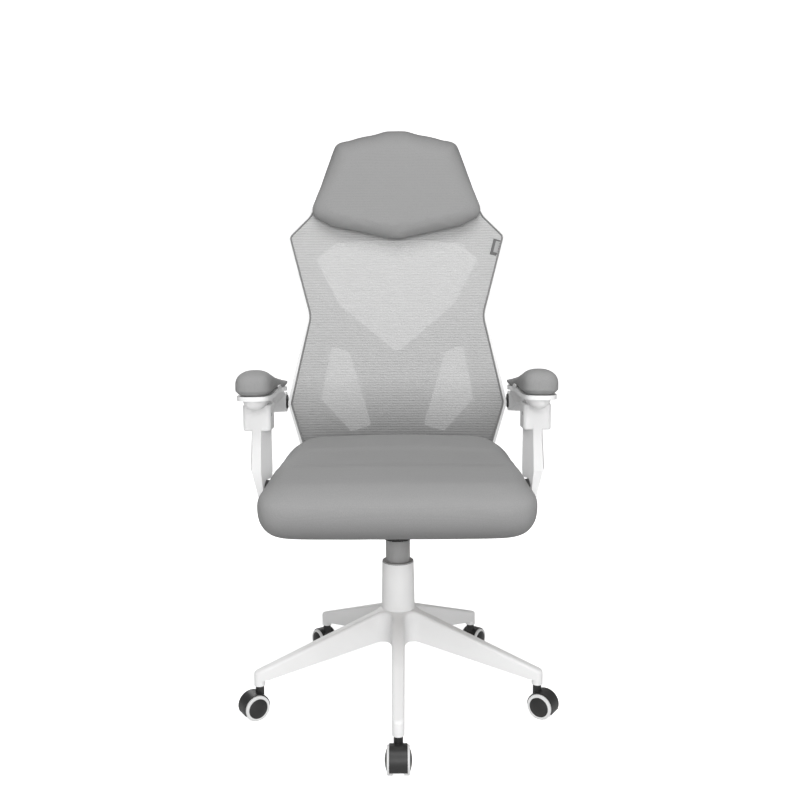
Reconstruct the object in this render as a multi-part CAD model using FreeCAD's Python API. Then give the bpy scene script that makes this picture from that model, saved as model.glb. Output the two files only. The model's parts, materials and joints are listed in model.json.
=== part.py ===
"""Reclining mesh office chair with a linkage armrest, in millimetres.

Origin on the floor under the swivel column, +Z up.  The sitter faces -Y, so the
sitter's left is +X.  Every sub-part is its own node, written to parts/NODE.step.
"""
import FreeCAD, Part
import math
import os

V = FreeCAD.Vector
X_AXIS, Y_AXIS, Z_AXIS = V(1, 0, 0), V(0, 1, 0), V(0, 0, 1)
SMALLEST_EDGE = 0.01

# ---------------------------------------------------------------- driving sizes
# Base star and casters
CASTER_CIRCLE = 290.0          # radius of the caster stems about the column
LEG_ANGLES = (270.0, 342.0, 54.0, 126.0, 198.0)
CASTER_TRAIL_TURN = (0.0, -16.0, 0.0, 0.0, 16.0)   # trail direction, off its leg
LEG_HALF_WIDTH_HUB, LEG_HALF_WIDTH_TIP = 13.4, 11.0
LEG_TOP_HUB, LEG_TOP_TIP = 196.0, 90.0
LEG_FOOT_HUB, LEG_FOOT_TIP = 127.0, 75.0
SOCKET_FOOT = 64.0
LEG_WALL = 4.0
HUB_TOP, HUB_TOP_R, HUB_FOOT_R = 288.0, 32.5, 35.5
WHEEL_R, WHEEL_INNER, WHEEL_OUTER = 25.0, 10.0, 20.0
CAP_R, CAP_OUTER = 19.5, 24.0
CASTER_TRAIL = 13.0            # stem to axle
HOOD_R, HOOD_BORE_R, HOOD_HALF_WIDTH = 27.0, 25.5, 16.0
STEM_R, AXLE_R = 5.5, 3.0

# Gas column
TUBE_R, TUBE_WALL, TUBE_FOOT, TUBE_TOP = 25.0, 1.6, 128.0, 334.0
BUSH_FOOT = 245.0
PISTON_TUBE_R, PISTON_BORE_R = 14.0, 11.0
PISTON_TUBE_FOOT, TAPER_FOOT, TAPER_TOP = 141.0, 330.0, 368.0
TAPER_TOP_R = 13.2
ROD_R = 5.0
RUN = 0.05                     # radial clearance of a running fit
GAP = 0.4                      # gap between parts that pass each other

# Tilt mechanism
TILT_Y, TILT_Z = -60.0, 377.0
PIN_R = 6.0
CHASSIS_HALF, SHEET = 42.0, 3.0
PLATE_FOOT, SEAT_FOOT = 394.5, 399.0
KNOB_Y, KNOB_R, KNOB_FOOT, KNOB_TOP = -104.0, 25.0, 363.5, 378.4
LEVER_PIVOT_X, LEVER_Z = -40.0, 378.0

# Seat
BOARD_THICK = 12.0
SEAT_FRONT, SEAT_REAR, SEAT_HALF = -250.0, 200.0, 256.5
SEAT_TOP_FRONT, SEAT_TOP_REAR = 494.0, 516.0

# Parallelogram of the reclining arms, as (Y, Z) pivots
FOOT_PIVOT = (-40.0, 428.0)
KNUCKLE_PIVOT = (-30.0, 598.0)
RECLINE_PIVOT = (216.0, 428.0)
LINK_PIVOT = (226.0, 598.0)
STRAP_IN, STRAP_OUT, STRAP_REACH = 257.5, 262.5, 39.0

# Back: half outline of the frame as (X, Z, corner radius), bottom to top
FRAME_HALF = [(206, 446, 10), (226, 505, 120), (251.5, 594.5, 24), (205.5, 794, 50),
              (254.5, 977.5, 16), (206, 1026, 30), (131, 1180, 20)]
FRAME_WIDTH, FRAME_DEPTH = 19.0, 22.0
WHITE_RIM = 6.5                # frame left showing outside the mesh
PANEL_THICK = 5.0
BACK_CURVE = [(400, 216), (500, 215), (594, 216), (700, 224), (794, 235), (890, 252),
              (981, 270), (1100, 292), (1240, 314)]        # (Z, Y of the mesh face)
HEADREST_FOOT = 1002.0         # support panel below, headrest shell above
HEADREST_HALF = [(0, 966, 90), (150, 999, 60), (198, 1026, 14), (160, 1138, 300),
                 (140, 1192, 14), (62, 1206, 40), (24, 1221, 30)]
HEADREST_THICK = 36.0
UPPER_OPENING = [(0, 710, 12), (53, 753, 30), (134.5, 822, 14), (189, 926, 10),
                 (142, 962, 14), (70, 969, 10)]
SIDE_OPENING = [(152, 724, 8), (111, 712, 14), (60, 541, 10),
                (108.5, 527, 8), (176, 602, 8), (166, 657, 30)]

# Arms, on the +X side
PAD_FRONT, PAD_REAR = -114.0, 165.0
PAD_FOOT, PAD_TOP_FRONT, PAD_TOP_REAR = 641.0, 688.0, 658.0
CARRIER_FOOT = 632.5
ARM_X = 274.0
POST_SECTIONS = [(408, 274, 256, 10), (486, 297, 252, 20), (579, 292.5, 253.5, 19)]
                               # (Z, outer X, inner X, half depth)
LINK_X = (255.0, 264.0)        # the link's end plate
HOUSING_X = (250.0, 305.0)
HOUSING_Y = (-50.0, 5.0)
HOUSING_Z = (567.0, 620.0)
TONGUE_X = (269.0, 291.0)


# ---------------------------------------------------------------- helpers
def block(x0, x1, y0, y1, z0, z1):
    """Box between two corners."""
    return Part.makeBox(x1 - x0, y1 - y0, z1 - z0, V(x0, y0, z0))


def rod(radius, start, end):
    """Cylinder from one point to another."""
    line = end - start
    return Part.makeCylinder(radius, line.Length, start, line)


def tube(outer, inner, start, end):
    """Hollow cylinder from one point to another."""
    return rod(outer, start, end).cut(rod(inner, start, end))


def rod_x(radius, yz, x0, x1):
    """Cylinder along X about a (Y, Z) point."""
    return rod(radius, V(x0, yz[0], yz[1]), V(x1, yz[0], yz[1]))


def ring(outer, inner, z0, z1):
    """Ring about the Z axis."""
    return tube(outer, inner, V(0, 0, z0), V(0, 0, z1))


def rounded_wire(corners, place):
    """Closed wire of lines and arcs through (u, v, radius) corners."""
    count = len(corners)
    starts, ends, middles = [], [], []
    for i, (u, v, radius) in enumerate(corners):
        here = V(u, v, 0)
        before = V(*corners[i - 1][:2], 0) - here
        after = V(*corners[(i + 1) % count][:2], 0) - here
        turn = math.pi - before.getAngle(after)
        before.normalize()
        after.normalize()
        reach = radius * math.tan(turn / 2)
        if reach < SMALLEST_EDGE:
            reach = radius = 0
        starts.append(here + before * reach)
        ends.append(here + after * reach)
        inward = before + after
        if inward.Length > 0:
            inward.normalize()
        middles.append(here + inward * radius * (1 / math.cos(turn / 2) - 1))
    edges = []
    for i in range(count):
        arc = [place(p.x, p.y) for p in (starts[i], middles[i], ends[i])]
        if (arc[0] - arc[2]).Length > SMALLEST_EDGE:
            edges.append(Part.Arc(*arc).toShape())
        following = place(starts[(i + 1) % count].x, starts[(i + 1) % count].y)
        if (arc[2] - following).Length > SMALLEST_EDGE:
            edges.append(Part.makeLine(arc[2], following))
    return Part.Wire(edges)


def prism_z(corners, z0, z1):
    """Plan outline (X, Y, radius) extruded upwards."""
    wire = rounded_wire(corners, lambda u, v: V(u, v, z0))
    return Part.Face(wire).extrude(V(0, 0, z1 - z0))


def prism_x(corners, x0, x1):
    """Side outline (Y, Z, radius) extruded along X."""
    wire = rounded_wire(corners, lambda u, v: V(x0, u, v))
    return Part.Face(wire).extrude(V(x1 - x0, 0, 0))


def prism_y(corners, y0, y1):
    """Front outline (X, Z, radius) extruded along Y."""
    wire = rounded_wire(corners, lambda u, v: V(u, y0, v))
    return Part.Face(wire).extrude(V(0, y1 - y0, 0))


def both_halves(half):
    """Full outline from its +X half, listed bottom to top or top to bottom."""
    other = [(-x, z, r) for x, z, r in reversed(half) if x != 0]
    return [corner for corner in half] + other


def mirrored(shape):
    """The same piece on the -X side."""
    return shape.mirror(V(0, 0, 0), X_AXIS)


def save(name, *solids):
    """Write one node; several solids make a group."""
    parts = [solid for shape in solids for solid in shape.Solids]
    shape = parts[0] if len(parts) == 1 else Part.makeCompound(parts)
    shape.exportStep("parts/" + name + ".step")


# ---------------------------------------------------------------- base and casters
def base_star():
    tip = CASTER_CIRCLE + LEG_HALF_WIDTH_TIP
    plan = None
    for angle in LEG_ANGLES:
        leg = Part.makePolygon([V(0, -LEG_HALF_WIDTH_HUB, 0), V(CASTER_CIRCLE, -LEG_HALF_WIDTH_TIP, 0),
                                V(CASTER_CIRCLE, LEG_HALF_WIDTH_TIP, 0), V(0, LEG_HALF_WIDTH_HUB, 0),
                                V(0, -LEG_HALF_WIDTH_HUB, 0)])
        leg = Part.Face(leg).extrude(V(0, 0, 260))
        leg = leg.fuse(rod(LEG_HALF_WIDTH_TIP, V(CASTER_CIRCLE, 0, 0), V(CASTER_CIRCLE, 0, 260)))
        leg.rotate(V(0, 0, 0), Z_AXIS, angle)
        plan = leg if plan is None else plan.fuse(leg)
    plan = plan.removeSplitter()
    inner = [e for e in plan.Edges if abs(e.tangentAt(e.FirstParameter).z) > 0.99
             and V(e.CenterOfMass.x, e.CenterOfMass.y, 0).Length < 40]
    plan = plan.makeFillet(24.0, inner)
    profile = Part.makePolygon([V(0, 0, LEG_FOOT_HUB), V(38, 0, LEG_FOOT_HUB),
                                V(CASTER_CIRCLE - 17, 0, LEG_FOOT_TIP),
                                V(tip + 5, 0, LEG_FOOT_TIP), V(tip + 5, 0, LEG_TOP_TIP),
                                V(20, 0, LEG_TOP_HUB), V(0, 0, LEG_TOP_HUB), V(0, 0, LEG_FOOT_HUB)])
    body = plan.common(Part.Face(profile).revolve(V(0, 0, 0), Z_AXIS, 360))
    top = [e for e in body.Edges if is_top_edge(e)]
    body = body.makeFillet(6.5, top)
    hub = Part.makeCone(HUB_FOOT_R, HUB_TOP_R, HUB_TOP - LEG_FOOT_HUB, V(0, 0, LEG_FOOT_HUB))
    body = body.fuse(hub)
    for angle in LEG_ANGLES:
        pocket = leg_pocket()
        pocket.rotate(V(0, 0, 0), Z_AXIS, angle)
        body = body.cut(pocket)
        socket = rod(LEG_HALF_WIDTH_TIP, V(CASTER_CIRCLE, 0, SOCKET_FOOT),
                     V(CASTER_CIRCLE, 0, LEG_FOOT_TIP + 1))
        bore = rod(STEM_R, V(CASTER_CIRCLE, 0, SOCKET_FOOT - 1), V(CASTER_CIRCLE, 0, 84))
        for piece in (socket, bore):
            piece.rotate(V(0, 0, 0), Z_AXIS, angle)
        body = body.fuse(socket).cut(bore)
    body = body.cut(rod(TUBE_R, V(0, 0, LEG_FOOT_HUB - 1), V(0, 0, HUB_TOP + 1)))
    save("base_star", body.removeSplitter())


def is_top_edge(edge):
    """An edge of the leg tops, where they meet the leg sides."""
    middle = edge.valueAt((edge.FirstParameter + edge.LastParameter) / 2)
    radius = V(middle.x, middle.y, 0).Length
    run = (radius - 20) / (CASTER_CIRCLE + LEG_HALF_WIDTH_TIP + 5 - 20)
    height = LEG_TOP_HUB + (LEG_TOP_TIP - LEG_TOP_HUB) * run
    return radius > 30 and abs(middle.z - height) < 0.5


def leg_pocket():
    """Hollow under one leg, split by cross ribs, for the leg along +X."""
    half = LEG_HALF_WIDTH_TIP - LEG_WALL
    start, end, ribs, rib = 50.0, CASTER_CIRCLE - 20.0, 4, 3.0
    slope = (LEG_TOP_TIP - LEG_TOP_HUB) / (CASTER_CIRCLE + LEG_HALF_WIDTH_TIP + 5 - 20)
    length = (end - start - rib * (ribs - 1)) / ribs
    cells = []
    for i in range(ribs):
        x0 = start + i * (length + rib)
        x1 = x0 + length
        roof = [LEG_TOP_HUB + slope * (x - 20) - LEG_WALL - 2 for x in (x0, x1)]
        face = Part.Face(Part.makePolygon([V(x0, -half, 60), V(x1, -half, 60), V(x1, -half, roof[1]),
                                           V(x0, -half, roof[0]), V(x0, -half, 60)]))
        cells.append(face.extrude(V(0, 2 * half, 0)))
    return Part.makeCompound(cells)


def place_caster(shape, index):
    """Move a caster piece from its own frame (stem at 0,0) to its leg."""
    angle = LEG_ANGLES[index]
    moved = shape.copy()
    moved.rotate(V(0, 0, 0), Z_AXIS, angle + CASTER_TRAIL_TURN[index])
    moved.translate(V(math.cos(math.radians(angle)), math.sin(math.radians(angle)), 0) * CASTER_CIRCLE)
    return moved


def caster_hood():
    """Hood over both wheels, with the web between them and the stem boss."""
    axle = V(CASTER_TRAIL, 0, WHEEL_R)
    across = V(0, HOOD_HALF_WIDTH, 0)
    shell = tube(HOOD_R, HOOD_BORE_R, axle - across, axle + across)
    web = rod(HOOD_R, axle - V(0, 3, 0), axle + V(0, 3, 0))
    hood = shell.fuse(web)
    reach = 60.0
    droop = math.radians(24)
    cut = Part.makePolygon([axle, axle + V(-reach, 0, 0), axle + V(-reach, 0, -reach),
                            axle + V(reach, 0, -reach),
                            axle + V(reach, 0, -reach * math.tan(droop)), axle])
    cut = Part.Face(cut).extrude(V(0, 80, 0))
    cut.translate(V(0, -40, 0))
    hub = rod(7.0, axle - V(0, 3, 0), axle + V(0, 3, 0))
    hood = hood.cut(cut).fuse(hub)
    hood = hood.fuse(rod(8.5, V(0, 0, 44), V(0, 0, 61)))
    hood = hood.fuse(Part.makeCone(8.5, 7.5, 2.4, V(0, 0, 61)))
    hood = hood.cut(rod(STEM_R + RUN, V(0, 0, 40), V(0, 0, 70)))
    return hood.cut(rod(AXLE_R + RUN, axle - V(0, 4, 0), axle + V(0, 4, 0)))


def caster_wheel(side):
    """White wheel rim with its hub; side is +1 or -1."""
    axle = V(CASTER_TRAIL, 0, WHEEL_R)
    wheel = rod(WHEEL_R, axle + V(0, side * WHEEL_INNER, 0), axle + V(0, side * WHEEL_OUTER, 0))
    rims = [e for e in wheel.Edges if isinstance(e.Curve, Part.Circle)]
    wheel = wheel.makeFillet(1.6, rims)
    wheel = wheel.cut(rod(AXLE_R, axle, axle + V(0, side * WHEEL_OUTER, 0)))
    return wheel.cut(rod(CAP_R, axle + V(0, side * (WHEEL_OUTER - 3), 0), axle + V(0, side * 30, 0)))


def caster_cap(side):
    """Domed black cap that fills the wheel's outer face."""
    axle = V(CASTER_TRAIL, 0, WHEEL_R)
    depth = CAP_OUTER - WHEEL_OUTER
    dome_r = (CAP_R ** 2 + depth ** 2) / (2 * depth)
    disc = rod(CAP_R, axle + V(0, side * (WHEEL_OUTER - 3), 0), axle + V(0, side * (CAP_OUTER + 1), 0))
    dome = Part.makeSphere(dome_r, axle + V(0, side * (CAP_OUTER - dome_r), 0))
    return disc.common(dome)


def casters():
    stems = []
    for index in range(len(LEG_ANGLES)):
        stem = rod(STEM_R, V(0, 0, 46), V(0, 0, 84))
        stem = stem.fuse(rod(STEM_R + 1.5, V(0, 0, SOCKET_FOOT - 0.6), V(0, 0, SOCKET_FOOT)))
        stems.append(place_caster(stem, index))
        name = "caster_%d_" % (index + 1)
        save(name + "hood", place_caster(caster_hood(), index))
        half = WHEEL_OUTER - 3
        axle = rod(AXLE_R, V(CASTER_TRAIL, -half, WHEEL_R), V(CASTER_TRAIL, half, WHEEL_R))
        save(name + "axle", place_caster(axle, index))
        save(name + "wheels", *[place_caster(caster_wheel(side), index) for side in (1, -1)])
        save(name + "caps", *[place_caster(caster_cap(side), index) for side in (1, -1)])
    save("caster_stems", *stems)


# ---------------------------------------------------------------- gas column
def gas_column():
    floor = 4.0
    tube_shell = ring(TUBE_R, TUBE_R - TUBE_WALL, TUBE_FOOT, TUBE_TOP)
    tube_shell = tube_shell.fuse(ring(TUBE_R, ROD_R + GAP, TUBE_FOOT, TUBE_FOOT + floor))
    save("column_tube", tube_shell.fuse(ring(HUB_TOP_R - 0.5, TUBE_R, HUB_TOP, HUB_TOP + 2.5)))
    bush = ring(TUBE_R - TUBE_WALL, PISTON_TUBE_R + RUN, BUSH_FOOT, TUBE_TOP)
    save("column_bush", bush.fuse(ring(TUBE_R - 1, PISTON_TUBE_R + RUN, TUBE_TOP, TUBE_TOP + 2)))
    bearing_foot = TUBE_FOOT + floor + GAP
    save("thrust_bearing", ring(15, ROD_R, bearing_foot, bearing_foot + 5))
    piston = rod(ROD_R, V(0, 0, 123), V(0, 0, 285))
    piston = piston.fuse(rod(8, V(0, 0, 123), V(0, 0, TUBE_FOOT - GAP)))
    save("piston_rod", piston.fuse(rod(PISTON_BORE_R - RUN, V(0, 0, 270), V(0, 0, 285))))
    outer = rod(PISTON_TUBE_R, V(0, 0, PISTON_TUBE_FOOT), V(0, 0, TAPER_FOOT))
    outer = outer.fuse(Part.makeCone(PISTON_TUBE_R, TAPER_TOP_R, TAPER_TOP - TAPER_FOOT, V(0, 0, TAPER_FOOT)))
    outer = outer.cut(rod(ROD_R + RUN, V(0, 0, 0), V(0, 0, 200)))
    outer = outer.cut(rod(PISTON_BORE_R, V(0, 0, PISTON_TUBE_FOOT + 8), V(0, 0, TAPER_TOP - 14)))
    save("pressure_tube", outer.cut(rod(3 + RUN, V(0, 0, 300), V(0, 0, 400))))
    save("valve_pin", rod(3, V(0, 0, TAPER_TOP - 12), V(0, 0, TAPER_TOP + 7.5)))


# ---------------------------------------------------------------- tilt mechanism
def chassis():
    side = [(-130, 379, 3), (-77, 379, 2), (-77, 362, 6), (-32, 343, 6), (78, 343, 6), (78, 368, 6),
            (-45, 389, 20), (-130, 389, 3)]
    inside = [(-127, 382, 0), (-74, 382, 0), (-74, 364, 4), (-31, 346, 4), (75, 346, 4), (75, 400, 0),
              (-127, 400, 0)]
    shell = prism_x(side, -CHASSIS_HALF, CHASSIS_HALF)
    shell = shell.cut(prism_x(inside, SHEET - CHASSIS_HALF, CHASSIS_HALF - SHEET))
    socket = rod(19, V(0, 0, 338), V(0, 0, TAPER_TOP - 2))
    taper = Part.makeCone(PISTON_TUBE_R, TAPER_TOP_R, TAPER_TOP - TAPER_FOOT, V(0, 0, TAPER_FOOT))
    shell = shell.fuse(socket).cut(taper)
    shell = shell.cut(rod_x(PIN_R + RUN, (TILT_Y, TILT_Z), -60, 60))
    shell = shell.cut(block(-CHASSIS_HALF - 1, SHEET - CHASSIS_HALF + 1, -9, 9, 371, 392))
    save("chassis", shell.cut(rod(4, V(0, KNOB_Y, 370), V(0, KNOB_Y, 384))))
    bolt = rod(4, V(0, KNOB_Y, KNOB_FOOT + 5), V(0, KNOB_Y, 386))
    save("tension_bolt", bolt.fuse(rod(9, V(0, KNOB_Y, 382), V(0, KNOB_Y, 386))))
    knob = rod(KNOB_R, V(0, KNOB_Y, KNOB_FOOT), V(0, KNOB_Y, KNOB_TOP))
    for i in range(12):
        turn = math.radians(30 * i)
        groove = V(math.cos(turn), math.sin(turn), 0) * (KNOB_R + 1.5) + V(0, KNOB_Y, 0)
        knob = knob.cut(rod(3, groove + V(0, 0, 350), groove + V(0, 0, 390)))
    save("tension_knob", knob.cut(rod(4 + RUN, V(0, KNOB_Y, KNOB_FOOT + 4), V(0, KNOB_Y, 390))))
    pin = rod_x(PIN_R, (TILT_Y, TILT_Z), -50, 50)
    save("tilt_pin", pin.fuse(rod_x(9, (TILT_Y, TILT_Z), 50, 53)).fuse(rod_x(9, (TILT_Y, TILT_Z), -53, -50)))
    coils = []
    for start in (8.0, -34.0):
        helix = Part.makeHelix(4.0, 26.0, 8.6)
        section = Part.Wire(Part.makeCircle(1.7, V(8.6, 0, 0), Y_AXIS))
        coil = Part.Wire(helix).makePipeShell([section], True, True)
        coil.rotate(V(0, 0, 0), Y_AXIS, 90)
        coil.translate(V(start, TILT_Y, TILT_Z))
        coils.append(coil)
    save("tilt_springs", *coils)


def height_lever():
    """Bent rod with a flat tip over the valve and a paddle at its outer end."""
    path = [V(-46, 0, LEVER_Z), V(-112, 0, 368), V(-176, 0, 364)]
    lever = block(LEVER_PIVOT_X - 8, 6, -6, 6, LEVER_Z - 2, LEVER_Z + 3)
    for start, end in zip(path, path[1:]):
        lever = lever.fuse(rod(4, start, end)).fuse(Part.makeSphere(4, end))
    paddle = prism_z([(-228, -15, 8), (-168, -8, 6), (-168, 8, 6), (-228, 15, 8)], 360, 369)
    save("height_lever", lever.fuse(paddle))


# ---------------------------------------------------------------- seat
def seat_outline():
    """Plan of the cushion: widest at its front corners, drawn in past the arms."""
    half = [(SEAT_HALF, SEAT_FRONT, 42), (SEAT_HALF - 7, -60, 300), (SEAT_HALF - 14, 100, 200),
            (SEAT_HALF - 43, SEAT_REAR, 40)]
    return half + [(-x, y, r) for x, y, r in reversed(half)]


def seat():
    bolts_at = [(75, -112), (75, 72), (125, -40), (163, -40), (40, 130)]
    holes = [rod(3, V(side * x, y, 380), V(side * x, y, SEAT_FOOT + 9)) for x, y in bolts_at
             for side in (1, -1)]
    board = prism_z([(185, -190, 30), (165, 160, 30), (-165, 160, 30), (-185, -190, 30)],
                    SEAT_FOOT, SEAT_FOOT + BOARD_THICK)
    cushion = prism_z(seat_outline(), SEAT_FOOT, SEAT_TOP_REAR + 4)
    slope = (SEAT_TOP_REAR - SEAT_TOP_FRONT) / (SEAT_REAR - SEAT_FRONT)
    drop = slope * 200
    lid = Part.makePolygon([V(-300, SEAT_FRONT - 50, SEAT_TOP_FRONT - drop / 4),
                            V(-300, SEAT_REAR + 50, SEAT_TOP_REAR + drop / 4),
                            V(-300, SEAT_REAR + 50, 600), V(-300, SEAT_FRONT - 50, 600),
                            V(-300, SEAT_FRONT - 50, SEAT_TOP_FRONT - drop / 4)])
    cushion = cushion.cut(Part.Face(lid).extrude(V(600, 0, 0)))
    rim_low = [e for e in cushion.Edges if e.BoundBox.ZMax < SEAT_FOOT + 0.1]
    cushion = cushion.makeFillet(24, rim_low)
    rim_high = [e for e in cushion.Edges if e.BoundBox.ZMin > SEAT_TOP_FRONT - 8]
    cushion = cushion.makeFillet(26, rim_high)
    save("seat_cushion", cushion.cut(board))
    plate = prism_z([(95, -132, 12), (95, 92, 12), (-95, 92, 12), (-95, -132, 12)], PLATE_FOOT, SEAT_FOOT)
    ear = [(-76, PLATE_FOOT + 1, 0), (-73, 366, 8), (-47, 366, 8), (-44, PLATE_FOOT + 1, 0)]
    for x0 in (CHASSIS_HALF + 1.5, -CHASSIS_HALF - 5.5):
        plate = plate.fuse(prism_x(ear, x0, x0 + 4))
    plate = plate.cut(rod_x(PIN_R, (TILT_Y, TILT_Z), -60, 60))
    straps = [side_strap(), mirrored(side_strap())]
    bracket = recline_bracket()
    for hole in holes:
        board = board.cut(hole)
        plate = plate.cut(hole)
        bracket = bracket.cut(hole)
        straps = [strap.cut(hole) for strap in straps]
    save("seat_board", board)
    save("seat_plate", plate)
    save("side_straps", *straps)
    save("recline_bracket", bracket)
    bolts = []
    for x, y in bolts_at:
        for side in (1, -1):
            bolt = rod(3, V(side * x, y, PLATE_FOOT), V(side * x, y, SEAT_FOOT + 9))
            bolts.append(bolt.fuse(rod(5.5, V(side * x, y, PLATE_FOOT - 3), V(side * x, y, PLATE_FOOT))))
    save("seat_bolts", *bolts)
    save("recline_pin", rod_x(PIN_R, RECLINE_PIVOT, -67, 67))
    foot_pin = rod_x(PIN_R, FOOT_PIVOT, STRAP_IN, 276)
    foot_pin = foot_pin.fuse(rod_x(8, FOOT_PIVOT, STRAP_IN - 3, STRAP_IN))
    save("arm_foot_pins", foot_pin, mirrored(foot_pin))


def side_strap():
    """Steel strap from under the seat board up to the arm's foot pivot, +X side."""
    outline = [(100, SEAT_FOOT, 0), (100, PLATE_FOOT, 0), (238, PLATE_FOOT, 6),
               (STRAP_OUT, 417, 8), (STRAP_OUT, 480, 0), (STRAP_IN, 480, 0), (STRAP_IN, 419, 8),
               (236, SEAT_FOOT - 0.5, 4), (230, SEAT_FOOT, 0)]
    strap = prism_y(outline, -64, -16)
    rounded = block(90, 270, -80, 0, 380, FOOT_PIVOT[1]).fuse(rod_x(STRAP_REACH, FOOT_PIVOT, 90, 270))
    return strap.common(rounded).cut(rod_x(PIN_R, FOOT_PIVOT, 240, 280))


def recline_bracket():
    """Steel plate under the seat's rear with two ears for the recline pin."""
    plate = prism_z([(68, 94, 6), (68, 214, 6), (-68, 214, 6), (-68, 94, 6)], PLATE_FOOT, SEAT_FOOT)
    y, z = RECLINE_PIVOT
    ear = [(201, PLATE_FOOT, 0), (226, PLATE_FOOT, 4), (y + 12, z, 0), (y - 12, z, 0)]
    for x0 in (57, -63):
        plate = plate.fuse(prism_x(ear, x0, x0 + 6)).fuse(rod_x(12, RECLINE_PIVOT, x0, x0 + 6))
    return plate.cut(rod_x(PIN_R, RECLINE_PIVOT, -80, 80))


# ---------------------------------------------------------------- back
def curved_slab(front, rear, half=320):
    """Slab that follows the side curve of the back, between two Y offsets."""
    edges = []
    for offset in (front, rear):
        curve = Part.BSplineCurve()
        curve.interpolate([V(-half, y + offset, z) for z, y in BACK_CURVE])
        edges.append(curve.toShape())
    (z0, y0), (z1, y1) = BACK_CURVE[0], BACK_CURVE[-1]
    edges.append(Part.makeLine(V(-half, y0 + front, z0), V(-half, y0 + rear, z0)))
    edges.append(Part.makeLine(V(-half, y1 + front, z1), V(-half, y1 + rear, z1)))
    return Part.Face(Part.Wire(Part.__sortEdges__(edges))).extrude(V(2 * half, 0, 0))


def outline_prism(inset):
    """Prism of the frame's front outline, drawn in by inset."""
    wire = rounded_wire(both_halves(FRAME_HALF), lambda u, v: V(u, 150, v))
    if inset:
        wire = wire.makeOffset2D(-inset)
    return Part.Face(wire).extrude(V(0, 250, 0))


def back():
    ring_prism = outline_prism(0).cut(outline_prism(FRAME_WIDTH))
    frame = ring_prism.common(curved_slab(0, FRAME_DEPTH))
    frame = frame.cut(rod_x(5, LINK_PIVOT, -262, 262))
    save("back_frame", frame)
    inner = outline_prism(FRAME_WIDTH)
    upper = block(-320, 320, 0, 500, HEADREST_FOOT, 1400)
    panel = inner.common(curved_slab(FRAME_DEPTH - PANEL_THICK, FRAME_DEPTH)).cut(upper)
    openings = [UPPER_OPENING + [(-x, z, r) for x, z, r in reversed(UPPER_OPENING) if x],
                SIDE_OPENING, [(-x, z, r) for x, z, r in SIDE_OPENING]]
    for opening in openings:
        panel = panel.cut(prism_y(opening, 150, 400))
    screws_at = [(x, z) for x in (-32, 32) for z in (470, 560, 610)]
    screws = [rod(2.5, V(x, 232, z), V(x, 262, z)) for x, z in screws_at]
    bracket = back_bracket()
    for screw in screws:
        panel = panel.cut(screw)
        bracket = bracket.cut(screw)
    save("back_support", panel)
    save("back_bracket", bracket)
    heads = [rod(2.5, V(x, 236, z), V(x, 258, z)).fuse(rod(5, V(x, 258, z), V(x, 261, z)))
             for x, z in screws_at]
    save("back_screws", *heads)
    mesh = outline_prism(WHITE_RIM).cut(block(-320, 320, 0, 500, HEADREST_FOOT + 38, 1400))
    save("back_mesh", mesh.common(curved_slab(-2, 0)))
    pad = prism_y(both_halves(HEADREST_HALF), 150, 400)
    save("headrest_pad", pad.common(curved_slab(-2.2 - HEADREST_THICK, -2.2)))
    shell = inner.common(curved_slab(FRAME_DEPTH - 6, FRAME_DEPTH))
    save("headrest_shell", shell.common(upper))
    pins = link_pin()
    save("link_pins", pins, mirrored(pins))


def back_bracket():
    """Hinge block and blade that carry the back on the recline pin."""
    side = [(208, 418, 3), (258, 418, 4), (256, 640, 4), (249, 640, 2), (238.6, 520, 0), (238, 440, 3),
            (208, 438, 3)]
    bracket = prism_x(side, -50, 50).fuse(rod_x(12, RECLINE_PIVOT, -55, 55))
    taper = [(50, 410, 0), (50, 540, 20), (40, 645, 10), (-40, 645, 10), (-50, 540, 20), (-50, 410, 0)]
    bracket = bracket.common(prism_y(taper, 150, 400).fuse(rod_x(12, RECLINE_PIVOT, -55, 55)))
    bracket = bracket.cut(curved_slab(-40, FRAME_DEPTH).common(block(-60, 60, 100, 400, 445, 700)))
    return bracket.cut(rod_x(PIN_R + RUN, RECLINE_PIVOT, -80, 80))


def link_pin():
    """Shoulder pin with its washer, fixed in the frame's side, +X side."""
    pin = rod_x(5, LINK_PIVOT, 234, LINK_X[1] + 3)
    washer = rod_x(16, LINK_PIVOT, 252.4, LINK_X[0] - GAP)
    return pin.fuse(washer).fuse(rod_x(9, LINK_PIVOT, LINK_X[1] + GAP, LINK_X[1] + 3))


# ---------------------------------------------------------------- arms
def arm_plan(inset, z0, z1):
    """Plan of the arm pad, +X side, drawn in by inset, as a prism."""
    centre = [(-70, ARM_X + 2.5, 33), (20, ARM_X + 2.5, 30), (100, ARM_X - 3, 25),
              (146, ARM_X - 12.5, 18.5)]
    outer = [V(x + half - inset, y, z0) for y, x, half in centre]
    inner = [V(x - half + inset, y, z0) for y, x, half in reversed(centre)]
    nose = V(ARM_X + 2, PAD_FRONT + inset, z0)
    heel = V(ARM_X - 16, PAD_REAR - inset, z0)
    cheeks = [V(ARM_X + 2 + side * (25 - inset), PAD_FRONT + 8 + inset, z0) for side in (-1, 1)]
    curve = Part.BSplineCurve()
    curve.interpolate([nose, cheeks[1]] + outer + [heel] + inner + [cheeks[0]], PeriodicFlag=True)
    return Part.Face(Part.Wire(curve.toShape())).extrude(V(0, 0, z1 - z0))


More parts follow.
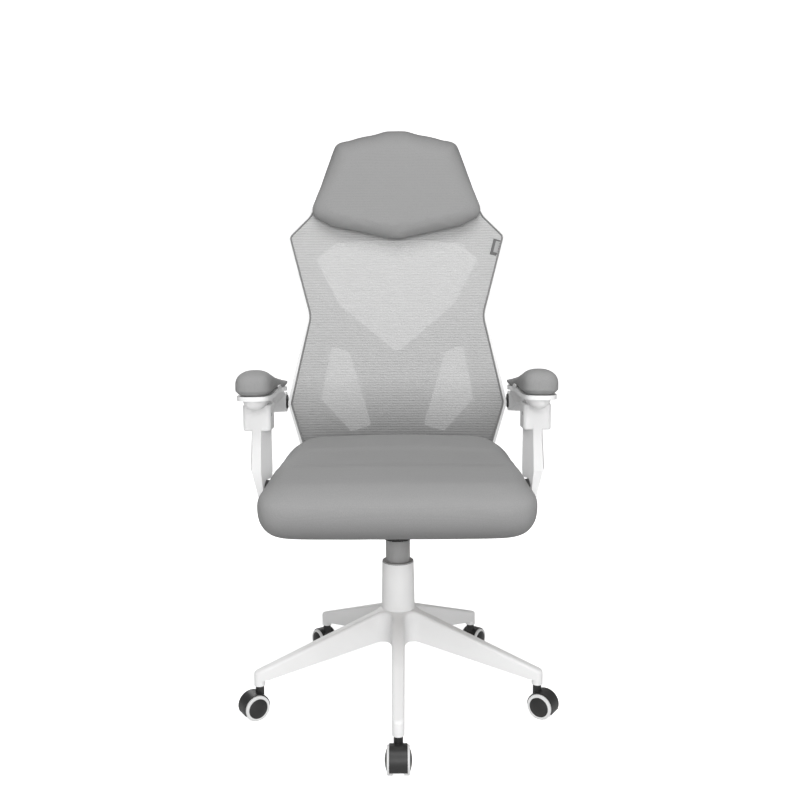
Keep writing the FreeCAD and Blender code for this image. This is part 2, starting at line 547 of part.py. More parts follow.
def post_section(z, outer, inner, deep):
    """Faceted section of the arm post at height z."""
    y = FOOT_PIVOT[0] + (z - FOOT_PIVOT[1]) * (KNUCKLE_PIVOT[0] - FOOT_PIVOT[0]) / \
        (KNUCKLE_PIVOT[1] - FOOT_PIVOT[1])
    wide, narrow = (outer - inner) * 0.4, (outer - inner) * 0.18
    points = [V(outer, y + deep - 4, z), V(outer - narrow, y - deep, z), V(inner + wide, y - deep, z),
              V(inner, y + deep - 4, z), V(inner + 4, y + deep, z), V(outer - 4, y + deep, z)]
    return Part.makePolygon(points + points[:1])


def arm_post():
    """Tapered post in two lofts that meet in a sharp knee, with a pocket for the strap."""
    rings = [post_section(*section) for section in POST_SECTIONS]
    post = Part.makeLoft(rings[:2], True, True).fuse(Part.makeLoft(rings[1:], True, True))
    post = post.cut(block(240, STRAP_OUT + GAP, -120, 60, 400,
                          FOOT_PIVOT[1] + STRAP_REACH + 1.5))
    return post.cut(rod_x(PIN_R + RUN, FOOT_PIVOT, 250, 277))


def arm_knuckle(post):
    (x0, x1), (y0, y1), (z0, z1) = HOUSING_X, HOUSING_Y, HOUSING_Z
    housing = block(x0, x1, y0, y1, z0, z1)
    housing = housing.makeFillet(8, [e for e in housing.Edges if abs(e.tangentAt(e.FirstParameter).z) > 0.9])
    rims = [e for e in housing.Edges if e.BoundBox.ZLength < 0.1]
    housing = housing.makeFillet(4, rims)
    y, z = KNUCKLE_PIVOT
    slot = rod_x(16, KNUCKLE_PIVOT, TONGUE_X[0] - GAP, TONGUE_X[1] + GAP)
    lean = math.radians(36)
    sweep = Part.makePolygon([V(TONGUE_X[0] - GAP, y + 7, z), V(TONGUE_X[0] - GAP, y + 7, z + 40),
                              V(TONGUE_X[0] - GAP, y - 40 * math.tan(lean) - 8, z + 40),
                              V(TONGUE_X[0] - GAP, y - 8, z), V(TONGUE_X[0] - GAP, y + 7, z)])
    slot = slot.fuse(Part.Face(sweep).extrude(V(TONGUE_X[1] - TONGUE_X[0] + 2 * GAP, 0, 0)))
    housing = housing.cut(slot).cut(rod_x(PIN_R, KNUCKLE_PIVOT, x0 - 1, 301))
    return housing.cut(post)


def facet_solid(faces):
    """Closed solid from triangles of points."""
    sheets = [Part.Face(Part.makePolygon(list(corners) + [corners[0]])) for corners in faces]
    return Part.Solid(Part.makeShell(sheets))


def arm_link():
    """Faceted link from the carrier back to the frame, with its peak beside the pad."""
    near, far = LINK_X
    front = [V(259, 16, 597), V(262, 16, 636), V(290, 16, 636), V(286, 16, 606)]
    rear = [V(near, 208, 577), V(near, 208, 617), V(far, 208, 612), V(far, 208, 582)]
    peak, dent = V(243.5, 50, 652), V(263, 112, 603)
    faces = [(front[0], dent, rear[0]), (rear[0], dent, rear[1]), (rear[1], dent, peak),
             (peak, dent, front[1]), (front[1], dent, front[0]),
             (peak, front[1], front[2]), (peak, front[2], rear[2]), (peak, rear[2], rear[1]),
             (front[2], front[3], rear[3]), (front[2], rear[3], rear[2]),
             (front[3], front[0], rear[0]), (front[3], rear[0], rear[3]),
             (front[0], front[2], front[1]), (front[0], front[3], front[2]),
             (rear[0], rear[1], rear[2]), (rear[0], rear[2], rear[3])]
    return facet_solid(faces).fuse(rod_x(23, LINK_PIVOT, near, far))


def arm_bowl():
    """Shallow bowl under the pad's nose, in front of the knuckle."""
    radius, z = 24.0, CARRIER_FOOT + 4
    middle = rod(radius, V(ARM_X, -81, z), V(ARM_X, -52, z))
    nose = Part.makeSphere(radius, V(ARM_X, -81, z)).common(block(230, 330, -130, -81, 600, 700))
    return middle.fuse(nose).cut(block(230, 330, -130, 0, CARRIER_FOOT + 1, 700))


def arm_carrier(pad):
    """Shell under the pad, its tongue into the knuckle and its link to the back."""
    y, z = KNUCKLE_PIVOT
    carrier = arm_plan(0.5, CARRIER_FOOT, PAD_FOOT)
    carrier = carrier.fuse(arm_bowl())
    carrier = carrier.fuse(block(254, 294, -52, 60, 630, CARRIER_FOOT + 1))
    tongue = block(TONGUE_X[0], TONGUE_X[1], y - 6, y + 6, z, CARRIER_FOOT + 1)
    carrier = carrier.fuse(tongue).fuse(rod_x(15, KNUCKLE_PIVOT, *TONGUE_X))
    carrier = carrier.fuse(arm_link())
    carrier = carrier.cut(rod_x(5 + GAP, LINK_PIVOT, 240, 280))
    return carrier.cut(rod_x(PIN_R + RUN, KNUCKLE_PIVOT, 240, 320)).cut(pad)


def arm_pad():
    pad = arm_plan(0, PAD_FOOT, PAD_TOP_FRONT)
    slope = (PAD_TOP_FRONT - PAD_TOP_REAR) / 160
    lid = Part.makePolygon([V(200, -60, PAD_TOP_FRONT), V(200, 200, PAD_TOP_FRONT - slope * 260),
                            V(200, 200, 720), V(200, -60, 720), V(200, -60, PAD_TOP_FRONT)])
    return pad.cut(Part.Face(lid).extrude(V(200, 0, 0)))


def arms():
    post, pad = arm_post(), arm_pad()
    pieces = {"arm_post": post, "arm_knuckle": arm_knuckle(post), "arm_carrier": arm_carrier(pad),
              "arm_pad": pad, "knuckle_pin": rod_x(PIN_R, KNUCKLE_PIVOT, HOUSING_X[0] + 1, 301)}
    for name, shape in pieces.items():
        save(name + "_left", shape)
        save(name + "_right", mirrored(shape))


os.makedirs("parts", exist_ok=True)
base_star()
casters()
gas_column()
chassis()
height_lever()
seat()
back()
arms()
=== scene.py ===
"""Visual model of a reclining mesh office chair, built round its CAD frame."""
import json
import math

import bpy
from mathutils import Matrix, Vector
from mathutils.bvhtree import BVHTree
from mathutils.kdtree import KDTree


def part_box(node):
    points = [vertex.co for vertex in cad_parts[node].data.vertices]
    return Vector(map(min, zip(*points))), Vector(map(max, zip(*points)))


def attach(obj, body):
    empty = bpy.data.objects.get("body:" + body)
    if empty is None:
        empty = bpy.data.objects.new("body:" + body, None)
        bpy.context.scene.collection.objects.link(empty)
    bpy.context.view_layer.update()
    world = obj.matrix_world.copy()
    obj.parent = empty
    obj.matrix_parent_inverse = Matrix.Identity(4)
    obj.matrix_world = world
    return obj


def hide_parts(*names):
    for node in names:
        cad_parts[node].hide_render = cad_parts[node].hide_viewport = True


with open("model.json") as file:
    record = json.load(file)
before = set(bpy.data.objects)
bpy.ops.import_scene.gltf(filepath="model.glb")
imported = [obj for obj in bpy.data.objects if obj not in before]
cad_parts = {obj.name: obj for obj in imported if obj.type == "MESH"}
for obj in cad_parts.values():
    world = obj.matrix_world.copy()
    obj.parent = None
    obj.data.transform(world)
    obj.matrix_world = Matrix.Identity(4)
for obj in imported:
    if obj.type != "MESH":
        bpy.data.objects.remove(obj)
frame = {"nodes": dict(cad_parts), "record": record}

MM = 0.001
X, Y, Z = range(3)
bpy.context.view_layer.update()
NODES = frame["nodes"]
SCENE = bpy.context.scene


# ------------------------------------------------------------ stage and camera
def build_camera():
    """Camera in front of the chair, a little over armrest height, looking slightly down."""
    place, lens = (0.006, -1.667, 0.790), 37.12
    pitch_down, roll = math.radians(5.72), math.radians(-0.3)
    data = bpy.data.cameras.new("camera")
    data.lens = lens
    data.sensor_width = 36.0
    camera = bpy.data.objects.new("camera", data)
    camera.location = place
    turn = Matrix.Rotation(math.pi / 2 - pitch_down, 4, "X") @ Matrix.Rotation(roll, 4, "Z")
    camera.rotation_euler = turn.to_euler()
    SCENE.collection.objects.link(camera)
    SCENE.camera = camera


def lit_for_camera(tree, seen, unseen):
    """Socket worth seen on a ray straight from the eye, and unseen on one that has bounced."""
    path = tree.nodes.new("ShaderNodeLightPath")
    pick = tree.nodes.new("ShaderNodeMapRange")
    pick.inputs["To Min"].default_value = unseen
    pick.inputs["To Max"].default_value = seen
    tree.links.new(path.outputs["Is Camera Ray"], pick.inputs["Value"])
    return pick.outputs["Result"]


def build_stage():
    """Pale floor that curves up into a backdrop, washed out to white as in a product picture."""
    depth_front, depth_back, half, rise, bend = -6.0, 5.0, 9.0, 7.0, 2.0
    paint, glow = 0.86, 0.8
    section = [(depth_front, 0.0), (depth_back - bend, 0.0)]
    steps = 12
    for i in range(1, steps + 1):
        angle = math.pi / 2 * i / steps
        section.append((depth_back - bend + bend * math.sin(angle), bend - bend * math.cos(angle)))
    section.append((depth_back, rise))
    mesh = bpy.data.meshes.new("studio_floor")
    points = [(x, y, z) for y, z in section for x in (-half, half)]
    faces = [(2 * i, 2 * i + 1, 2 * i + 3, 2 * i + 2) for i in range(len(section) - 1)]
    mesh.from_pydata(points, [], faces)
    mesh.shade_smooth()
    floor = bpy.data.objects.new("studio_floor", mesh)
    SCENE.collection.objects.link(floor)
    material = bpy.data.materials.new("studio_floor")
    material.use_nodes = True
    tree = material.node_tree
    shader = tree.nodes["Principled BSDF"]
    shader.inputs["Base Color"].default_value = (paint, paint, paint, 1)
    shader.inputs["Roughness"].default_value = 0.9
    shader.inputs["Emission Color"].default_value = (1, 1, 1, 1)
    tree.links.new(lit_for_camera(tree, glow, 0.0), shader.inputs["Emission Strength"])
    mesh.materials.append(material)


def area_light(name, place, target, size, power):
    """Soft rectangular light aimed at a point."""
    data = bpy.data.lights.new(name, "AREA")
    data.shape = "RECTANGLE"
    data.size, data.size_y = size
    data.energy = power
    light = bpy.data.objects.new(name, data)
    light.location = place
    light.rotation_euler = (Vector(target) - Vector(place)).to_track_quat("-Z", "Y").to_euler()
    SCENE.collection.objects.link(light)


def build_lights():
    """Large frontal softbox, top light, weak light from behind, and dim surroundings."""
    seen, unseen = 1.0, 0.28
    world = bpy.data.worlds.new("studio")
    world.use_nodes = True
    tree = world.node_tree
    background = tree.nodes["Background"]
    background.inputs["Color"].default_value = (1, 1, 1, 1)
    tree.links.new(lit_for_camera(tree, seen, unseen), background.inputs["Strength"])
    SCENE.world = world
    chest = (0, 0, 0.66)
    area_light("front_softbox", (0.30, -3.6, 1.65), chest, (2.4, 2.0), 71)
    area_light("overhead", (0.0, -1.5, 3.2), chest, (2.0, 1.6), 46)
    area_light("rear_fill", (-1.2, 3.0, 1.8), chest, (1.6, 1.6), 26)
    SCENE.view_settings.view_transform = "Standard"


# ------------------------------------------------------------ materials
class Shader:
    """Builds a node material round one Principled shader, patterned in object coordinates."""

    def __init__(self, name, **values):
        self.material = bpy.data.materials.new(name)
        self.material.use_nodes = True
        self.tree = self.material.node_tree
        self.principled = self.tree.nodes["Principled BSDF"]
        for socket, value in values.items():
            self.principled.inputs[socket.replace("_", " ")].default_value = value
        self.place = self.node("ShaderNodeTexCoord").outputs["Object"]

    def node(self, kind, inputs=None, **settings):
        """New node whose inputs are values or other nodes' sockets."""
        made = self.tree.nodes.new(kind)
        for key, value in settings.items():
            setattr(made, key, value)
        for key, value in (inputs or {}).items():
            if isinstance(value, bpy.types.NodeSocket):
                self.tree.links.new(value, made.inputs[key])
            else:
                made.inputs[key].default_value = value
        return made

    def math(self, operation, a, b=0.0):
        return self.node("ShaderNodeMath", {0: a, 1: b}, operation=operation).outputs[0]

    def noise(self, scale, detail=2.0):
        inputs = {"Vector": self.place, "Scale": scale, "Detail": detail}
        return self.node("ShaderNodeTexNoise", inputs).outputs["Fac"]

    def spread(self, value, low, high, start=0.3, stop=0.7):
        """Map a value from start..stop to low..high."""
        inputs = {"Value": value, "From Min": start, "From Max": stop, "To Min": low, "To Max": high}
        return self.node("ShaderNodeMapRange", inputs).outputs["Result"]

    def mix(self, factor, first, second):
        """Colour between first and second."""
        made = self.node("ShaderNodeMix", data_type="RGBA")
        for index, value in ((0, factor), (6, first), (7, second)):
            if isinstance(value, bpy.types.NodeSocket):
                self.tree.links.new(value, made.inputs[index])
            else:
                made.inputs[index].default_value = value
        return made.outputs[2]

    def to(self, socket, value):
        self.tree.links.new(value, self.principled.inputs[socket])

    def bump(self, height, distance, strength=1.0):
        inputs = {"Height": height, "Distance": distance, "Strength": strength}
        self.to("Normal", self.node("ShaderNodeBump", inputs).outputs["Normal"])


def grey(value):
    return (value, value, value, 1)


def moulded_plastic(name, tone, rough):
    """Injection-moulded plastic: spark-eroded grain, faint cloudiness and handling marks."""
    grain, spread = 0.00006, 0.03
    s = Shader(name, Specular_IOR_Level=0.45)
    cloud = s.noise(9.0, 4.0)
    s.to("Base Color", s.mix(s.spread(cloud, 0, 1), grey(tone * (1 - spread)), grey(tone)))
    marks = s.noise(70.0, 6.0)
    s.to("Roughness", s.spread(marks, rough - 0.05, rough + 0.06))
    s.bump(s.noise(1400.0, 2.0), grain)
    return s.material


def painted_steel(name, tone, rough):
    """Powder coat: fine orange peel over faintly mottled colour."""
    s = Shader(name, Metallic=0.0, Specular_IOR_Level=0.5)
    s.to("Base Color", s.mix(s.spread(s.noise(30.0, 3.0), 0, 1), grey(tone * 0.9), grey(tone * 1.08)))
    s.to("Roughness", s.spread(s.noise(120.0, 4.0), rough - 0.06, rough + 0.06))
    s.bump(s.noise(650.0, 2.0), 0.00008)
    return s.material


def bare_steel(name, tone, rough):
    """Turned or drawn steel with fine lines round its axis."""
    s = Shader(name, Metallic=1.0)
    lines = s.node("ShaderNodeTexNoise", {"Vector": s.node("ShaderNodeMapping", {
        "Vector": s.place, "Scale": (60, 60, 2400)}).outputs["Vector"], "Scale": 1.0}).outputs["Fac"]
    s.to("Base Color", s.mix(s.spread(s.noise(40.0), 0, 1), grey(tone * 0.85), grey(tone)))
    s.to("Roughness", s.spread(lines, rough - 0.08, rough + 0.1))
    s.bump(lines, 0.00004)
    return s.material


def woven_fabric(name, tone, pitch=0.0011):
    """Plain-woven polyester: threads, flecked yarn, and painted shade darkening it where the shade
    attribute says.
    """
    depth, turns = 0.00016, 2 * math.pi / pitch
    s = Shader(name, Specular_IOR_Level=0.2)
    split = s.node("ShaderNodeSeparateXYZ", {"Vector": s.place})
    waves = [s.math("SINE", s.math("MULTIPLY", split.outputs[axis], turns)) for axis in "XYZ"]
    lattice = s.math("ADD", s.math("ADD", waves[0], waves[1]), waves[2])
    threads = s.spread(lattice, 0.0, 1.0, -2.2, 2.2)
    fleck = s.noise(900.0, 2.0)
    cloud = s.noise(6.0, 3.0)
    yarn = s.mix(s.spread(fleck, 0, 1), grey(tone * 0.88), grey(tone * 1.08))
    shade = s.mix(s.spread(cloud, 0, 0.5), yarn, grey(tone * 0.96))
    colour = s.mix(s.math("MULTIPLY", threads, 0.3), shade, grey(tone * 1.14))
    # painted shade: the shade attribute darkens the cloth's colour towards black
    painted_shade = s.node("ShaderNodeAttribute", attribute_name="shade").outputs["Fac"]
    s.to("Base Color", s.mix(painted_shade, colour, grey(0.0)))
    s.to("Roughness", s.spread(threads, 0.95, 0.82, 0.0, 1.0))
    s.bump(threads, depth)
    return s.material


def ply_wood(name):
    """Birch ply: long pale and brown streaks along X."""
    s = Shader(name, Roughness=0.75)
    grain = s.node("ShaderNodeTexNoise", {"Vector": s.node("ShaderNodeMapping", {
        "Vector": s.place, "Scale": (14, 160, 420)}).outputs["Vector"], "Scale": 1.0, "Detail": 5.0})
    s.to("Base Color", s.mix(grain.outputs["Fac"], (0.30, 0.19, 0.10, 1), (0.58, 0.42, 0.26, 1)))
    s.bump(grain.outputs["Fac"], 0.0002)
    return s.material


def ribbed_mesh(name, tone, rib_pitch, shade_low, shade_high):
    """Ribbed spacer knit: dense ribs with thin see-through courses, with painted shade darkening it
    low down.
    """
    s = Shader(name, Roughness=0.85, Specular_IOR_Level=0.2)
    split = s.node("ShaderNodeSeparateXYZ", {"Vector": s.place})
    rib = s.math("SINE", s.math("MULTIPLY", split.outputs["Z"], 2 * math.pi / rib_pitch))
    rib = s.spread(rib, 0.0, 1.0, -1.0, 1.0)
    hole_pitch = 0.0016
    across = s.math("SINE", s.math("MULTIPLY", split.outputs["X"], 2 * math.pi / hole_pitch))
    along = s.math("SINE", s.math("MULTIPLY", split.outputs["Z"], 2 * math.pi / hole_pitch))
    knit = s.spread(s.math("MULTIPLY", across, along), 0.0, 1.0, -0.4, 0.4)
    # painted shade: the knit's colour darkens from shade_high down to shade_low
    height = s.spread(split.outputs["Z"], 0.0, 1.0, shade_low, shade_high)
    deep = s.mix(rib, grey(tone * 0.38), grey(tone * 0.44))
    pale = s.mix(rib, grey(tone * 0.96), grey(tone * 1.02))
    s.to("Base Color", s.mix(height, deep, pale))
    cover = s.math("ADD", s.spread(rib, 0.89, 0.97, 0.0, 1.0), s.spread(knit, -0.05, 0.04, 0.0, 1.0))
    s.to("Alpha", cover)
    s.bump(knit, 0.0002)
    return s.material


RIB_PITCH = 6.0 * MM
WHITE = moulded_plastic("white_plastic", 0.89, 0.42)
BLACK = moulded_plastic("black_plastic", 0.022, 0.42)
WHEEL_WHITE = moulded_plastic("wheel_white", 0.80, 0.42)
BUSH = moulded_plastic("bush_plastic", 0.5, 0.5)
GREY_PAINT = painted_steel("grey_paint", 0.37, 0.5)
BLACK_STEEL = painted_steel("black_steel", 0.025, 0.45)
STEEL = bare_steel("bright_steel", 0.6, 0.3)
SPRING = bare_steel("spring_steel", 0.35, 0.4)
SEAT_FABRIC = woven_fabric("seat_fabric", 0.318)
PLY = ply_wood("plywood")
MESH_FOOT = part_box("back_mesh")[0].z
MESH_FABRIC = ribbed_mesh("mesh_fabric", 0.57, RIB_PITCH, MESH_FOOT + 40 * MM, MESH_FOOT + 200 * MM)
PIPING = woven_fabric("piping_fabric", 0.25, 0.0009)
TAG_CLOTH = woven_fabric("tag_cloth", 0.16, 0.0007)
TAG_FACE = woven_fabric("tag_face", 0.40, 0.0007)
SLOT_MATERIALS = {"white_plastic": WHITE, "black_plastic": BLACK, "wheel_white": WHEEL_WHITE,
                  "bush_plastic": BUSH, "grey_paint": GREY_PAINT, "black_steel": BLACK_STEEL,
                  "bright_steel": STEEL, "spring_steel": SPRING, "seat_fabric": SEAT_FABRIC,
                  "plywood": PLY, "mesh_fabric": MESH_FABRIC}


def paint_cad_nodes():
    """Give every CAD node the material of its slot in the record."""
    for part in frame["record"]["subparts"]:
        mesh = NODES[part["node"]].data
        mesh.materials.clear()
        mesh.materials.append(SLOT_MATERIALS[part["material_slot"]])


# ------------------------------------------------------------ reading the frame
def surface(node):
    """Search tree over a CAD node's faces, for measuring it with rays."""
    mesh = NODES[node].data
    return BVHTree.FromPolygons([v.co for v in mesh.vertices], [p.vertices for p in mesh.polygons])


def first_hit(tree, start, direction):
    """Point where a ray first meets the surface."""
    return tree.ray_cast(Vector(start), Vector(direction))[0]


def clamp(value):
    return min(max(value, 0), 1)


def smooth_step(value, low, high):
    """0 below low, 1 above high, and an S-curve between."""
    t = clamp((value - low) / (high - low))
    return t * t * (3 - 2 * t)


def add_object(name, mesh, body, material):
    """Put a new mesh in the scene, riding on a CAD body."""
    piece = bpy.data.objects.new(name, mesh)
    SCENE.collection.objects.link(piece)
    mesh.materials.append(material)
    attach(piece, body)
    return piece


def mesh_from(name, points, faces):
    mesh = bpy.data.meshes.new(name)
    mesh.from_pydata([tuple(p) for p in points], [], faces)
    mesh.update()
    mesh.shade_smooth()
    return mesh


def sweep(name, path, profile, closed=False):
    """Tube of a flat (side, out) profile carried along a path; out points forwards."""
    up = Vector((0, -1, 0))
    count, ring = len(path), len(profile)
    points = []
    for i, place in enumerate(path):
        before = path[i - 1] if i or closed else path[i]
        after = path[(i + 1) % count] if i < count - 1 or closed else path[i]
        ahead = (after - before).normalized()
        out = (up - ahead * ahead.dot(up)).normalized()
        side = ahead.cross(out)
        points += [place + side * u + out * v for u, v in profile]
    faces = []
    spans = count if closed else count - 1
    for i in range(spans):
        a, b = i * ring, ((i + 1) % count) * ring
        faces += [(a + j, a + (j + 1) % ring, b + (j + 1) % ring, b + j) for j in range(ring)]
    if not closed:
        faces += [tuple(reversed(range(ring))), tuple(range((count - 1) * ring, count * ring))]
    return mesh_from(name, points, faces)


def round_profile(half_width, height):
    """Closed oval profile, flat on its underside."""
    steps = 10
    return [(half_width * math.cos(math.pi * i / steps), height * math.sin(math.pi * i / steps))
            for i in range(steps + 1)]


def apply_modifiers(piece):
    """Bake the piece's modifiers into its mesh."""
    graph = bpy.context.evaluated_depsgraph_get()
    graph.update()
    baked = bpy.data.meshes.new_from_object(piece.evaluated_get(graph))
    piece.modifiers.clear()
    piece.data = baked


# ------------------------------------------------------------ padded pieces
def remeshed_copy(name, node, voxel):
    """Even quad mesh over a CAD soft solid."""
    piece = bpy.data.objects.new(name, NODES[node].data.copy())
    SCENE.collection.objects.link(piece)
    remesh = piece.modifiers.new("remesh", "REMESH")
    remesh.mode = "VOXEL"
    remesh.voxel_size = voxel
    apply_modifiers(piece)
    return piece


def move_points(piece, rule):
    """Move each vertex to rule(co, normal)."""
    moved = [rule(v.co.copy(), v.normal.copy()) for v in piece.data.vertices]
    for vertex, place in zip(piece.data.vertices, moved):
        vertex.co = place
    piece.data.update()


def grow(piece, amount, along=(1, 1, 1)):
    """Move each vertex outwards by amount, times along's value on each axis."""
    move_points(piece, lambda co, normal: co + normal * Vector(along) * amount)


def relax(piece, rounds):
    """Even out the surface."""
    smooth = piece.modifiers.new("relax", "SMOOTH")
    smooth.iterations = rounds
    smooth.factor = 0.5
    apply_modifiers(piece)


def inflate(piece, cap, free=lambda co: 1.0):
    """Blow the cover up by cloth simulation. No point moves further than cap times free(co)."""
    pressure, frames = 4.0, 20
    rest = [v.co.copy() for v in piece.data.vertices]
    cloth = piece.modifiers.new("stuffing", "CLOTH")
    cloth.settings.use_pressure = True
    cloth.settings.uniform_pressure_force = pressure
    cloth.settings.effector_weights.gravity = 0.0
    cloth.point_cache.frame_start, cloth.point_cache.frame_end = 1, frames
    for number in range(1, frames + 1):
        SCENE.frame_set(number)
    graph = bpy.context.evaluated_depsgraph_get()
    blown = [v.co.copy() for v in piece.evaluated_get(graph).data.vertices]
    piece.modifiers.clear()
    SCENE.frame_set(1)
    for vertex, start, end in zip(piece.data.vertices, rest, blown):
        move = end - start
        if move.length > 0:
            move *= cap * math.tanh(move.length / cap) / move.length
        vertex.co = start + move * free(start)
    piece.data.update()


def paint_shade(piece, rule):
    """Store how much painted shade darkens the cloth at each point, from 0 to 1, for the fabric
    material.
    """
    shade = piece.data.attributes.new("shade", "FLOAT", "POINT")
    for vertex, value in zip(piece.data.vertices, shade.data):
        value.value = rule(vertex.co)


def rim_distance(piece, axis):
    """Function that gives a point's distance from the pad's rim, seen along an axis."""
    u, v = [i for i in (X, Y, Z) if i != axis]
    side_on = 0.35
    rim = [p.co for p in piece.data.vertices if abs(p.normal[axis]) < side_on]
    tree = KDTree(len(rim))
    for index, co in enumerate(rim):
        tree.insert((co[u], co[v], 0), index)
    tree.balance()
    return lambda co: tree.find((co[u], co[v], 0))[2]


def pillow(piece, axis, base, roll, keep, fullness=2.0):
    """Thin a pad along one axis towards its rim, to keep(co) times its height above base(co).

    roll(co) is how far from the rim the fall starts, and fullness over 2 makes it squarer than round.
    """
    from_rim = rim_distance(piece, axis)

    def fall(co, normal):
        t = 1 - clamp(from_rim(co) / roll(co))
        drop = 1 - (1 - t ** fullness) ** (1 / fullness)
        level = base(co)
        co[axis] = level + (co[axis] - level) * (1 - (1 - keep(co)) * drop)
        return co

    move_points(piece, fall)


def confine(piece, node, slack):
    """Pull back every point that stands further than slack(co) outside the pad's CAD solid."""
    tree = surface(node)

    def pull(co, normal):
        near, outward, _, away = tree.find_nearest(co)
        if (co - near).dot(outward) > 0 and away > slack(co):
            return near + (co - near) * (slack(co) / away)
        return co

    move_points(piece, pull)


def finish_pad(piece, body, node):
    """Subdivide and upholster a pad that stands for a CAD soft solid."""
    subdivide = piece.modifiers.new("smooth", "SUBSURF")
    subdivide.levels = subdivide.render_levels = 1
    apply_modifiers(piece)
    piece.data.shade_smooth()
    piece.data.materials.clear()
    piece.data.materials.append(SEAT_FABRIC)
    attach(piece, body)
    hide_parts(node)


def seat_cushion():
    """Moulded foam cushion: crowned top, deep rolled front, rim tucked in under the board."""
    low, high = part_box("seat_cushion")
    middle, waist = (low.y + high.y) / 2, low.z + 62 * MM
    post_low, post_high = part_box("arm_post_left")
    post_y = (post_low.y + post_high.y) / 2
    piece = remeshed_copy("seat_cushion_cover", "seat_cushion", 6 * MM)

    def along(co):
        return (co.y - low.y) / (high.y - low.y)

    def front(co):
        return 1 - smooth_step(along(co), 0, 0.38)

    def below_waist(co):
        return clamp((waist - co.z) / (waist - low.z))

    def slack(co):
        """Little room beside the arm posts, more elsewhere."""
        return (1 + 3 * smooth_step(abs(co.y - post_y), 45 * MM, 80 * MM)) * MM

    pillow(piece, Z, base=lambda co: low.z, roll=lambda co: (36 + 84 * front(co)) * MM,
           keep=lambda co: 0.88 - 0.13 * front(co))
    pillow(piece, Z, base=lambda co: high.z, roll=lambda co: (26 + 28 * front(co)) * MM,
           keep=lambda co: 0.84)
    grow(piece, 2 * MM)
    relax(piece, 14)
    inflate(piece, 6 * MM)
    relax(piece, 24)
    grow(piece, 1.5 * MM)
    confine(piece, "seat_cushion", slack)

    def settle(co, normal):
        """Crown the top, let it fall towards the front, tuck the rim in and let it droop."""
        across, far = co.x / high.x, along(co)
        upper = smooth_step(co.z, low.z + 40 * MM, high.z - 10 * MM)
        lower = 1 - smooth_step(co.z, low.z, low.z + 70 * MM)
        crown = (8 + 5 * far) * MM * (1 - across ** 2) * smooth_step(far, -0.1, 0.85)
        fall = 20 * MM * (1 - smooth_step(far, -0.25, 0.62)) ** 2
        droop = 11 * MM * (1 - smooth_step(far, 0.0, 0.45))
        tuck = 1 - math.sqrt(1 - below_waist(co) ** 2)
        co.x *= 1 - 0.035 * tuck
        if co.y < middle:
            co.y = middle + (co.y - middle) * (1 - 0.10 * tuck)
        co.z += upper * (crown - fall) - lower * droop
        return co

    move_points(piece, settle)
    relax(piece, 12)
    # painted shade on the cushion's lower front and underside, growing below the waist
    paint_shade(piece, lambda co: 0.34 * below_waist(co) ** 2)
    finish_pad(piece, "seat", "seat_cushion")


def headrest():
    """Puffed headrest pad: full in the middle, rolled thin all round its rim."""
    low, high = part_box("headrest_pad")
    margin, solid = 40 * MM, surface("headrest_pad")

    def rear(z):
        return first_hit(solid, (0, high.y + 1, z), (0, -1, 0)).y

    foot, top = rear(low.z + margin), rear(high.z - margin)
    piece = remeshed_copy("headrest_cover", "headrest_pad", 5 * MM)

    def up(co):
        return (co.z - low.z - margin) / (high.z - low.z - 2 * margin)

    pillow(piece, Y, base=lambda co: foot + (top - foot) * up(co),
           roll=lambda co: (62 + 34 * up(co)) * MM, keep=lambda co: 0.50 - 0.22 * clamp(up(co)))
    relax(piece, 10)
    inflate(piece, 5 * MM)
    relax(piece, 4)
    grow(piece, 3.5 * MM, along=(1, 0, 1))
    confine(piece, "headrest_pad", lambda co: 1.2 * MM)

    def shoulder(co, normal):
        """Fill the outline between the crest and the upper corners."""
        near = math.exp(-((abs(co.x) - 74 * MM) / (30 * MM)) ** 2)
        co.z += 5 * MM * near * smooth_step(up(co), 0.6, 1.1)
        return co

    move_points(piece, shoulder)
    relax(piece, 1)
    from_rim = rim_distance(piece, Y)

    def rim_shade(co):
        return (1 - clamp(from_rim(co) / (45 * MM))) ** 2

    # painted shade along the top and side rims, where they turn away from the light, and a faint
    # painted shade over the whole pad
    paint_shade(piece, lambda co: 0.03 + 0.30 * smooth_step(up(co), 0.1, 1) * rim_shade(co))
    finish_pad(piece, "back", "headrest_pad")


def arm_pad(side):
    """Moulded pad of one arm: domed across, high at the nose and thin at the heel."""
    node = "arm_pad_" + side
    low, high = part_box(node)
    piece = remeshed_copy(node + "_cover", node, 3.5 * MM)

    def heel(co):
        return smooth_step((co.y - low.y) / (high.y - low.y), 0.3, 0.8)

    def above_foot(co):
        return smooth_step(co.z, low.z - 1 * MM, low.z + 7 * MM)

    pillow(piece, Z, base=lambda co: low.z, roll=lambda co: (32 - 18 * heel(co)) * MM,
           keep=lambda co: 0.45 + 0.3 * heel(co), fullness=2.6)
    pillow(piece, Z, base=lambda co: high.z, roll=lambda co: 12 * MM, keep=lambda co: 0.84)
    relax(piece, 4)
    inflate(piece, 4 * MM, free=above_foot)
    relax(piece, 1)

    def swell(co, normal):
        middle = smooth_step(co.z, low.z, low.z + 10 * MM) * (1 - 0.7 * heel(co))
        return co + Vector((normal.x, normal.y, 0)) * 3 * MM * middle

    move_points(piece, swell)
    confine(piece, node, lambda co: 2.5 * MM)
    finish_pad(piece, "arm_" + side, node)


# ------------------------------------------------------------ mesh back
def back_rows(step, inset=0.5 * MM):
    """(z, y, half width) of the mesh's front face from bottom to top, measured on its CAD sheet."""
    tree, (low, high) = surface("back_mesh"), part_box("back_mesh")
    count = round((high.z - low.z - 2 * inset) / step)
    rows = []
    for i in range(count + 1):
        z = low.z + inset + (high.z - low.z - 2 * inset) * i / count
        front = first_hit(tree, (0, low.y - 1, z), (0, 1, 0))
        side = first_hit(tree, (1, front.y + MM, z), (-1, 0, 0))
        rows.append((z, front.y, side.x))
    return rows


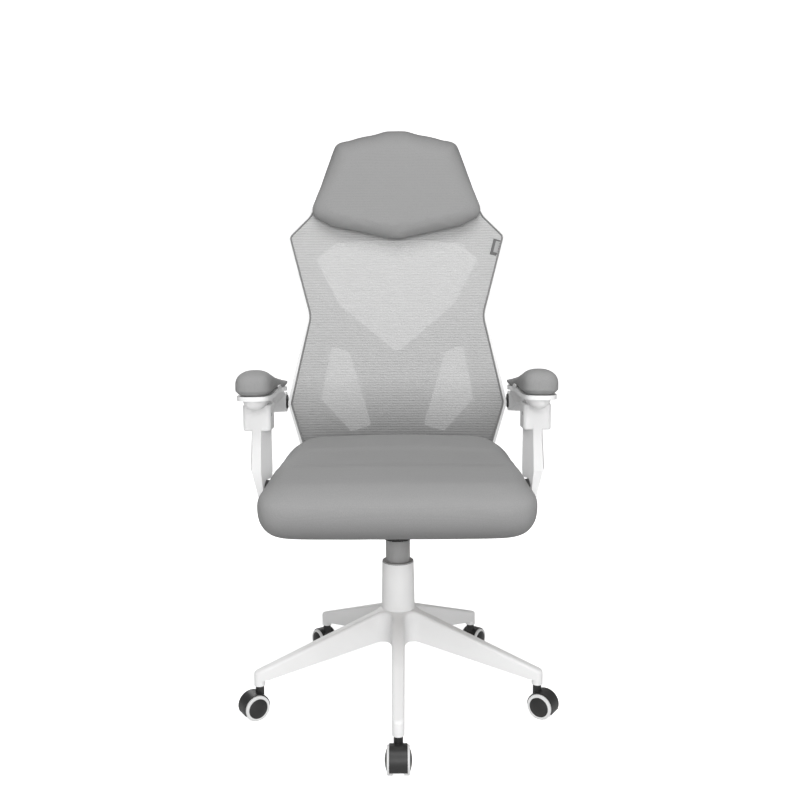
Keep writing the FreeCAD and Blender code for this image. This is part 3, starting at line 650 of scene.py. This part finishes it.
def back_mesh(trims):
    """Ribbed knit stretched over the frame, a little dished between its sides."""
    dish, rail, rib_height, columns = 6 * MM, 17 * MM, 0.3 * MM, 44
    edge_gap, sunk, bow = 1 * MM, 0.6 * MM, 25 * MM
    rows = back_rows(RIB_PITCH / 6)
    points = []
    for z, y, half in rows:
        rib = rib_height * math.sin(2 * math.pi * z / RIB_PITCH)
        for j in range(columns + 1):
            u = 2 * j / columns - 1
            hollow = dish * (1 - min(abs(u) * half / (half - rail), 1) ** 4)
            points.append((u * (half - edge_gap), y + sunk + hollow - rib, z))
    width = columns + 1
    faces = [(i * width + j, i * width + j + 1, (i + 1) * width + j + 1, (i + 1) * width + j)
             for i in range(len(rows) - 1) for j in range(columns)]
    mesh = mesh_from("back_mesh_knit", points, faces)
    piece = add_object("back_mesh_knit", mesh, "back", MESH_FABRIC)
    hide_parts("back_mesh")


def mesh_piping():
    """Dark grey edge binding that holds the mesh in the frame's groove."""
    half_width, height, sunk = 2.0 * MM, 2.2 * MM, 0.5 * MM
    rows = back_rows(6 * MM, 2.5 * MM)
    one_side = [Vector((half - half_width, y + sunk, z)) for z, y, half in rows]
    other = [Vector((-p.x, p.y, p.z)) for p in reversed(one_side)]
    mesh = sweep("mesh_piping", one_side + other, round_profile(half_width, height), closed=True)
    return add_object("mesh_piping", mesh, "back", PIPING)


def mesh_tag():
    """Plain folded cloth tag sewn under the piping, just below the sitter's left shoulder."""
    rows = back_rows(2 * MM)
    shoulder = max(rows, key=lambda row: row[2])[0]
    pieces = []
    for name, material, start, stop, inner, outer, height in (
            ("mesh_tag", TAG_CLOTH, 5, 43, 21, 3, 1.2),
            ("mesh_tag_face", TAG_FACE, 10, 38, 16, 4.5, 1.7)):
        path = [Vector((half - (inner + outer) / 2 * MM, y + MM, z)) for z, y, half in rows
                if shoulder - stop * MM <= z <= shoulder - start * MM]
        profile = round_profile((inner - outer) / 2 * MM, height * MM)
        pieces.append(add_object(name, sweep(name, path, profile), "back", material))
    return pieces


build_camera()
build_stage()
build_lights()
paint_cad_nodes()
seat_cushion()
headrest()
for side in ("left", "right"):
    arm_pad(side)
back_mesh([mesh_piping(), *mesh_tag()])
